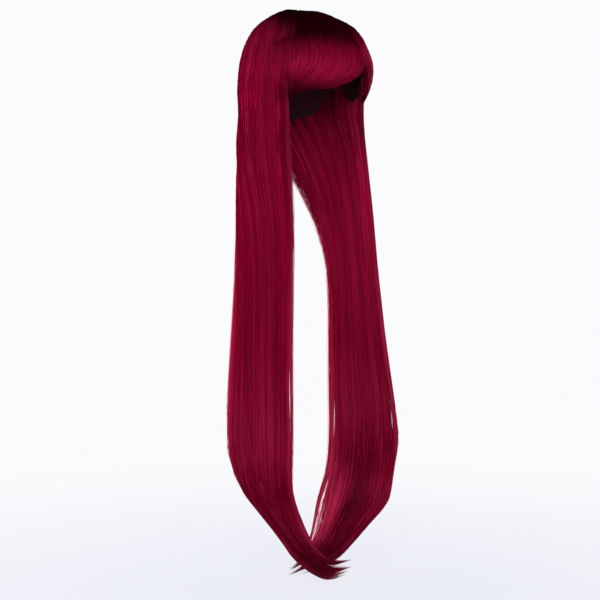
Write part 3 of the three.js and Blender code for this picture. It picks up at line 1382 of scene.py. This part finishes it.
@dataclass
class Strands:
    """Fine strands of one mass of hair as one joined mesh of slim tapered tubes."""

    name: str
    flow: HairFlow
    fibre: Fibre
    plans: tuple[StrandPlan, ...]
    slits: tuple[Slit, ...] = ()
    sides: int = 3
    probe: float = 0.3

    def build(self, material: bpy.types.Material, rng: np.random.Generator) -> bpy.types.Object:
        """Lays each plan's strands and joins them.

        Args:
            material: the finish.
            rng: the seeded source of chance.

        Returns:
            The piece.
        """
        verts, maps, quads, ends, base = [], [], [], [], 0
        for plan in self.plans:
            tube, place = self.tubes(plan, rng)
            faces, caps = self.faces(plan.count, plan.rings)
            verts.append(tube.reshape(-1, 3))
            maps.append(place.reshape(-1, 2))
            quads.append(faces + base)
            ends.append(caps + base)
            base += tube.size // 3
        mesh = self.joined(*(np.concatenate(part) for part in (verts, maps, quads, ends)))
        return settle(self.name, mesh, material)

    def tubes(self, plan: StrandPlan, rng: np.random.Generator) -> tuple[Array, Array]:
        """Works out the rings of each strand.

        Args:
            plan: how the strands lie.
            rng: the seeded source of chance.

        Returns:
            The rings' points, strand by strand, and their places on the map.
        """
        chance = Chances.drawn(plan, rng)
        tube = self.rings(plan, chance, *self.courses(plan, chance))
        width = np.linspace(0.0, plan.map_width, self.sides)
        column = mix(*plan.map_span, chance.tone)[:, None, None] + width
        place = np.stack(np.broadcast_arrays(column, chance.along[..., None] / PAST_TIP), axis=-1)
        return tube, place

    def courses(self, plan: StrandPlan, chance: Chances) -> tuple[Array, Array]:
        """Works out the course of each strand.

        Args:
            plan: how the strands lie.
            chance: what chance gives them.

        Returns:
            The places of the rings across the hair and through it.
        """
        along, level = chance.along, chance.level[:, None]
        pull = plan.gather * smooth_step(along, plan.gather_from, 1.0)
        loose = smooth_step(along, *plan.loosens)
        drift = np.sin(2 * np.pi * chance.pace[:, :1] * along + chance.phase[:, :1])
        heave = np.sin(2 * np.pi * chance.pace[:, 1:] * along + chance.phase[:, 1:2])
        across = mix(chance.home[:, None], chance.core[chance.wisp][:, None], pull)
        across = across + plan.wave * loose * drift
        lapped = plan.lap * smooth_step(plan.lap_width - across, 0.0, plan.lap_width)
        across = across - lapped * (1.0 - smooth_step(along, *plan.lap_end))
        pointed = plan.tip_pull * smooth_step(along, plan.tip_from, 1.0)
        across = mix(across, chance.tip[:, None], pointed)
        for slit in self.slits:
            across = slit.opened(across, along, level)
        ribs = grooved(across, plan.locks, plan.groove)
        depth = level * ribs * (1.0 - plan.flatten * pull) * (1.0 - pointed)
        depth = depth + plan.lift * loose * heave
        ending = smooth_step(along, plan.splay_from, 1.0)
        swing = plan.splay * chance.swing[chance.wisp]
        across = across + swing[:, :1] * ending
        return across, depth + plan.splay_through * swing[:, 1:] * ending

    def rings(self, plan: StrandPlan, chance: Chances, across: Array, depth: Array) -> Array:
        """Sets rings round the course of each strand.

        Args:
            plan: how the strands lie.
            chance: what chance gives them.
            across: the places of the rings across the hair.
            depth: their places through it.

        Returns:
            The rings' points, with X, Y and Z on the last axis.
        """
        centre = self.flow.points(across, depth, chance.along)
        out = unit(self.flow.points(across, depth + self.probe, chance.along) - centre)
        ahead = unit(np.gradient(centre, axis=1))
        beside = unit(np.cross(ahead, out))
        out = np.cross(beside, ahead)
        tip = 1.0 - plan.taper * smooth_step(chance.step, plan.taper_from, 1.0)
        root = mix(plan.root_share, 1.0, smooth_step(chance.step, 0.0, plan.root_end))
        thick = chance.radius[:, None] * tip * root
        turn = chance.phase[:, 2:3, None] + np.arange(self.sides) * (2.0 * np.pi / self.sides)
        rim = np.cos(turn)[..., None] * beside[:, :, None, :]
        rim = rim + np.sin(turn)[..., None] * out[:, :, None, :]
        return centre[:, :, None, :] + thick[..., None, None] * rim

    def faces(self, count: int, rings: int) -> tuple[Array, Array]:
        """Numbers the faces of the tubes.

        Args:
            count: how many strands.
            rings: how many rings each has.

        Returns:
            The corners of the walls, four a face, and of the ends, three a face.
        """
        sides = self.sides
        ring = np.arange(sides)
        after = (ring + 1) % sides
        wall = np.stack([ring, after, after + sides, ring + sides], axis=-1)
        strip = wall[None] + (np.arange(rings - 1) * sides)[:, None, None]
        first = (np.arange(count) * rings * sides)[:, None, None]
        quads = (strip.reshape(1, -1, 4) + first).reshape(-1, 4)
        caps = np.stack([ring[::-1], ring + (rings - 1) * sides])[None] + first
        return quads, caps.reshape(-1, sides)

    def joined(self, verts: Array, maps: Array, quads: Array, ends: Array) -> bpy.types.Mesh:
        """Makes one mesh of all the tubes.

        Args:
            verts: the points.
            maps: each point's place on the map.
            quads: the walls' corners.
            ends: the ends' corners.

        Returns:
            The mesh, with its map.
        """
        corners = np.concatenate([quads.ravel(), ends.ravel()])
        sizes = np.concatenate([np.full(len(quads), 4), np.full(len(ends), self.sides)])
        mesh = bpy.data.meshes.new(self.name)
        mesh.vertices.add(len(verts))
        mesh.vertices.foreach_set("co", verts.astype(np.float32).ravel())
        mesh.loops.add(len(corners))
        mesh.loops.foreach_set("vertex_index", corners.astype(np.int32))
        mesh.polygons.add(len(sizes))
        starts = np.concatenate([[0], np.cumsum(sizes)[:-1]])
        mesh.polygons.foreach_set("loop_start", starts.astype(np.int32))
        mesh.update(calc_edges=True)
        layer = mesh.uv_layers.new(name=MAP_NAME)
        layer.uv.foreach_set("vector", maps[corners].astype(np.float32).ravel())
        mesh.validate()
        return mesh


# The studio


@dataclass(frozen=True)
class Lamp:
    """A soft square lamp: its name, place, the length of its sides and its power in watts."""

    name: str
    place: Triple
    size: float
    power: float


@dataclass
class Studio:
    """A pale floor, a bright horizon with a dark ceiling, four soft lamps and the camera."""

    floor_level: float = -0.893
    floor_radius: float = 5.8
    floor_sides: int = 96
    glow: Triple = (0.985, 0.99, 1.0)
    horizon: float = 0.975
    ceiling: float = 0.02
    ceiling_rise: Pair = (0.16, 0.62)
    ground: float = 0.25
    ground_fall: Pair = (0.12, 0.45)
    lamps: tuple[Lamp, ...] = (
        Lamp("lamp_front", (-1.5, -2.2, 0.0), 1.4, 72.0),
        Lamp("lamp_right", (1.5, -2.2, 0.0), 1.4, 20.0),
        Lamp("lamp_back", (-0.8, 2.7, -0.1), 1.2, 75.0),
        Lamp("lamp_back_right", (2.2, 1.4, -0.1), 1.2, 44.0),
    )
    target: Triple = (-0.0068, 0.0051, -0.434)
    azimuth: float = -37.0
    elevation: float = 4.0
    distance: float = 2.6
    lens: float = 100.65
    sensor: float = 36.0

    def build(self) -> None:
        """Makes the floor, the light and the camera."""
        self.lay_floor()
        self.light_horizon()
        for lamp in self.lamps:
            self.hang(lamp)
        self.place_camera()
        bpy.context.scene.view_settings.view_transform = "Standard"

    def lay_floor(self) -> None:
        """Makes the floor, a wide disc."""
        bm = bmesh.new()
        bmesh.ops.create_circle(
            bm, cap_ends=True, segments=self.floor_sides, radius=self.floor_radius
        )
        bmesh.ops.translate(bm, verts=bm.verts, vec=(0.0, 0.0, self.floor_level))
        mesh = mesh_of(bm, "floor")
        mesh.materials.append(FloorFinish("studio_floor").material())
        floor = put("floor", mesh)
        floor.visible_diffuse = False
        floor.visible_glossy = False

    def light_horizon(self) -> None:
        """Makes the light of the room: bright walls all round and a dark ceiling."""
        world = bpy.data.worlds.new("studio")
        bpy.context.scene.world = world
        world.use_nodes = True
        graph = Graph(world.node_tree)
        place = graph.node("ShaderNodeTexCoord")
        parts = graph.node("ShaderNodeSeparateXYZ", None, {0: place.outputs["Generated"]})
        height = graph.wire(parts, "Z")
        above = height.eased(*self.ceiling_rise) * (self.horizon - self.ceiling)
        below = (0.0 - height).eased(*self.ground_fall) * (self.horizon - self.ground)
        strength = self.horizon - above - below
        glow = graph.node(
            "ShaderNodeBackground", None, {"Color": (*self.glow, 1.0), "Strength": strength}
        )
        graph.node("ShaderNodeOutputWorld", None, {"Surface": glow.outputs[0]})

    def hang(self, lamp: Lamp) -> None:
        """Hangs one lamp so that it faces the wig.

        Args:
            lamp: the lamp.
        """
        light = bpy.data.lights.new(lamp.name, "AREA")
        light.size, light.energy = lamp.size, lamp.power
        self.face(put(lamp.name, light), Vector(lamp.place))

    def place_camera(self) -> None:
        """Sets the camera at the picture's angle."""
        turn, tilt = math.radians(self.azimuth), math.radians(self.elevation)
        away = Vector(
            (math.sin(turn) * math.cos(tilt), -math.cos(turn) * math.cos(tilt), math.sin(tilt))
        )
        lens = bpy.data.cameras.new("camera")
        lens.lens, lens.sensor_width = self.lens, self.sensor
        camera = put("camera", lens)
        self.face(camera, Vector(self.target) + away * self.distance)
        bpy.context.scene.camera = camera

    def face(self, thing: bpy.types.Object, place: Vector) -> None:
        """Sets a lamp or the camera at a place and turns it to the wig."""
        thing.location = place
        thing.rotation_euler = (Vector(self.target) - place).to_track_quat("-Z", "Y").to_euler()


@dataclass
class Wig:
    """The whole wig: cap, under-hair and strands."""

    right: LongHair = field(default_factory=lambda: LongHair(Side.RIGHT, RIGHT_HANK))
    left: LongHair = field(default_factory=lambda: LongHair(Side.LEFT, LEFT_HANK))
    fringe: ShortHair = field(default_factory=lambda: ShortHair(FRINGE_ROWS))
    temple: ShortHair = field(default_factory=lambda: ShortHair(TEMPLE_ROWS))

    def build(self) -> None:
        """Makes every piece in order."""
        rng = np.random.default_rng(SEED)
        StretchCap(ClothFinish("cap_knit")).build()
        fibres = {fibre: fibre.value.material() for fibre in Fibre}
        for part in self.bodies():
            part.build()
        for part in self.coats():
            part.build(fibres[part.fibre], rng)

    def bodies(self) -> list[UnderHair]:
        """Lists the under-hair of each mass.

        Returns:
            The bodies, in the order in which they are built.
        """
        right, left = ("hank_right", "crown_hair"), ("hank_left", "crown_hair")
        return [
            UnderHair("right_under_hair", self.right, Fibre.RIGHT, 7, right),
            UnderHair("left_under_hair", self.left, Fibre.LEFT, 7, left),
            UnderHair(
                "fringe_under_hair",
                self.fringe,
                Fibre.FRINGE,
                5,
                ("fringe",),
                columns=30,
                rows=30,
                inset=(-0.02, -0.02),
            ),
            UnderHair(
                "temple_under_hair",
                self.temple,
                Fibre.TEMPLE,
                3,
                ("temple_lock",),
                columns=18,
                rows=30,
                inset=(-0.03, -0.03),
                thin_from=0.85,
            ),
        ]

    def coats(self) -> list[Strands]:
        """Lists the strands of each mass.

        Returns:
            The coats, in the order in which chance is drawn for them.
        """
        right_ends = {
            "reach": (0.93, 1.005),
            "splay": 0.015,
            "tip_pull": 0.8,
            "tips": ((0.0, 1.0), (0.52, 1.0), (0.76, 0.995), (0.98, 0.985)),
        }
        left_ends = {
            "reach": (0.95, 1.0),
            "splay": 0.015,
            "tip_pull": 0.75,
            "tips": ((0.02, 0.975), (0.5, 1.0), (0.9, 0.985)),
        }
        right_slits = (
            Slit(0.03, 0.011, (0.565, 0.635), lean=-0.026),
            Slit(0.085, 0.007, (0.55, 0.63), lean=-0.026),
        )
        left_slits = (
            Slit(0.955, 0.032, (0.66, 0.97)),
            Slit(0.905, 0.020, (0.65, 0.94)),
            Slit(0.865, 0.010, (0.66, 0.92)),
            Slit(0.945, 0.011, (0.58, 0.665), lean=0.020),
            Slit(0.060, 0.027, (0.585, 0.648), lean=0.031),
        )
        masses = (
            ("right", self.right, Fibre.RIGHT, right_ends, right_slits),
            ("left", self.left, Fibre.LEFT, left_ends, left_slits),
        )
        found = []
        for name, flow, fibre, ends, slits in masses:
            outer, inner, thin = self.long_plans(ends)
            found += [
                Strands(f"{name}_outer_strands", flow, fibre, (outer,), slits),
                Strands(f"{name}_inner_strands", flow, Fibre.INNER, (inner,), slits),
                Strands(f"{name}_thin_strands", flow, Fibre.THIN_LIT, thin, slits),
            ]
        return found + self.short_coats()

    @staticmethod
    def long_plans(
        ends: dict[str, Any],
    ) -> tuple[StrandPlan, StrandPlan, tuple[StrandPlan, ...]]:
        """How the strands of one long mass lie.

        Args:
            ends: how they end.

        Returns:
            The plans of the outer, the inner and the thin strands.
        """
        full = {"across": (0.012, 0.988), **ends}
        inside = {"rings": 16, "start": (0.24, 0.28)}
        edge = {"fade": 2.0, "wisps": 90, "radius": 0.2 * MM}
        glint = {"across": (0.03, 0.97), "raised": 0.06, "radius": 0.2 * MM}
        stray = {"wisps": 18, "wave": 0.022, "lift": 0.5, "radius": 0.12 * MM, "splay": 0.08}
        thin = (
            StrandPlan(170, Layer.THROUGH, across=(0.06, 0.0), lap=0.05, **edge),
            StrandPlan(190, Layer.THROUGH, across=(0.94, 1.022), start=(0.2, 0.24), **edge),
            StrandPlan(110, Layer.OUTER, lap=0.05, **glint),
            StrandPlan(80, Layer.INNER, **inside, **glint),
            StrandPlan(18, Layer.THROUGH, across=(-0.02, 1.02), **stray),
        )
        outer = StrandPlan(1480, Layer.OUTER, lap=0.05, **full)
        return outer, StrandPlan(950, Layer.INNER, **inside, **full), thin

    def short_coats(self) -> list[Strands]:
        """Lists the strands of the fringe and the temple lock.

        Returns:
            Their coats, and one of the fringe's strands that lap over the near hank.
        """
        fringe = {"locks": 5, "wisps": 36}
        temple = {"locks": 3, "wisps": 16, "reach": (0.9, 1.0)}
        upper = {"rings": 13}
        under = {"rings": 9, "start": (0.45, 0.5)}
        swept = {"across": (-0.14, 1.03), "reach": (0.88, 1.0), "gather": 0.35, "mingle": 0.002}
        lapped = {"across": (-0.10, -0.36), "fade": 1.4, "raised": 0.08, "reach": (0.78, 1.0)}
        short = (
            StrandPlan(1300, Layer.OUTER, **upper, **swept, **fringe),
            StrandPlan(320, Layer.INNER, reach=(0.86, 1.0), **under, **fringe),
        )
        lock = (
            StrandPlan(520, Layer.OUTER, across=(-0.1, 1.06), gather=0.5, **upper, **temple),
            StrandPlan(220, Layer.INNER, **under, **temple),
            StrandPlan(200, Layer.THROUGH, **under, **temple),
        )
        lap = (StrandPlan(220, Layer.OUTER, mingle=0.01, **upper, **lapped),)
        return [
            Strands("fringe_strands", self.fringe, Fibre.FRINGE, short),
            Strands("temple_strands", self.temple, Fibre.TEMPLE, lock),
            Strands("fringe_lap_strands", self.fringe, Fibre.FRINGE, lap),
        ]


def main() -> None:
    """Loads the frame, builds the studio and the wig."""
    logging.basicConfig(level=logging.INFO, format="%(name)s: %(message)s")
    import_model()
    Studio().build()
    Wig().build()


if __name__ == "__main__":
    main()
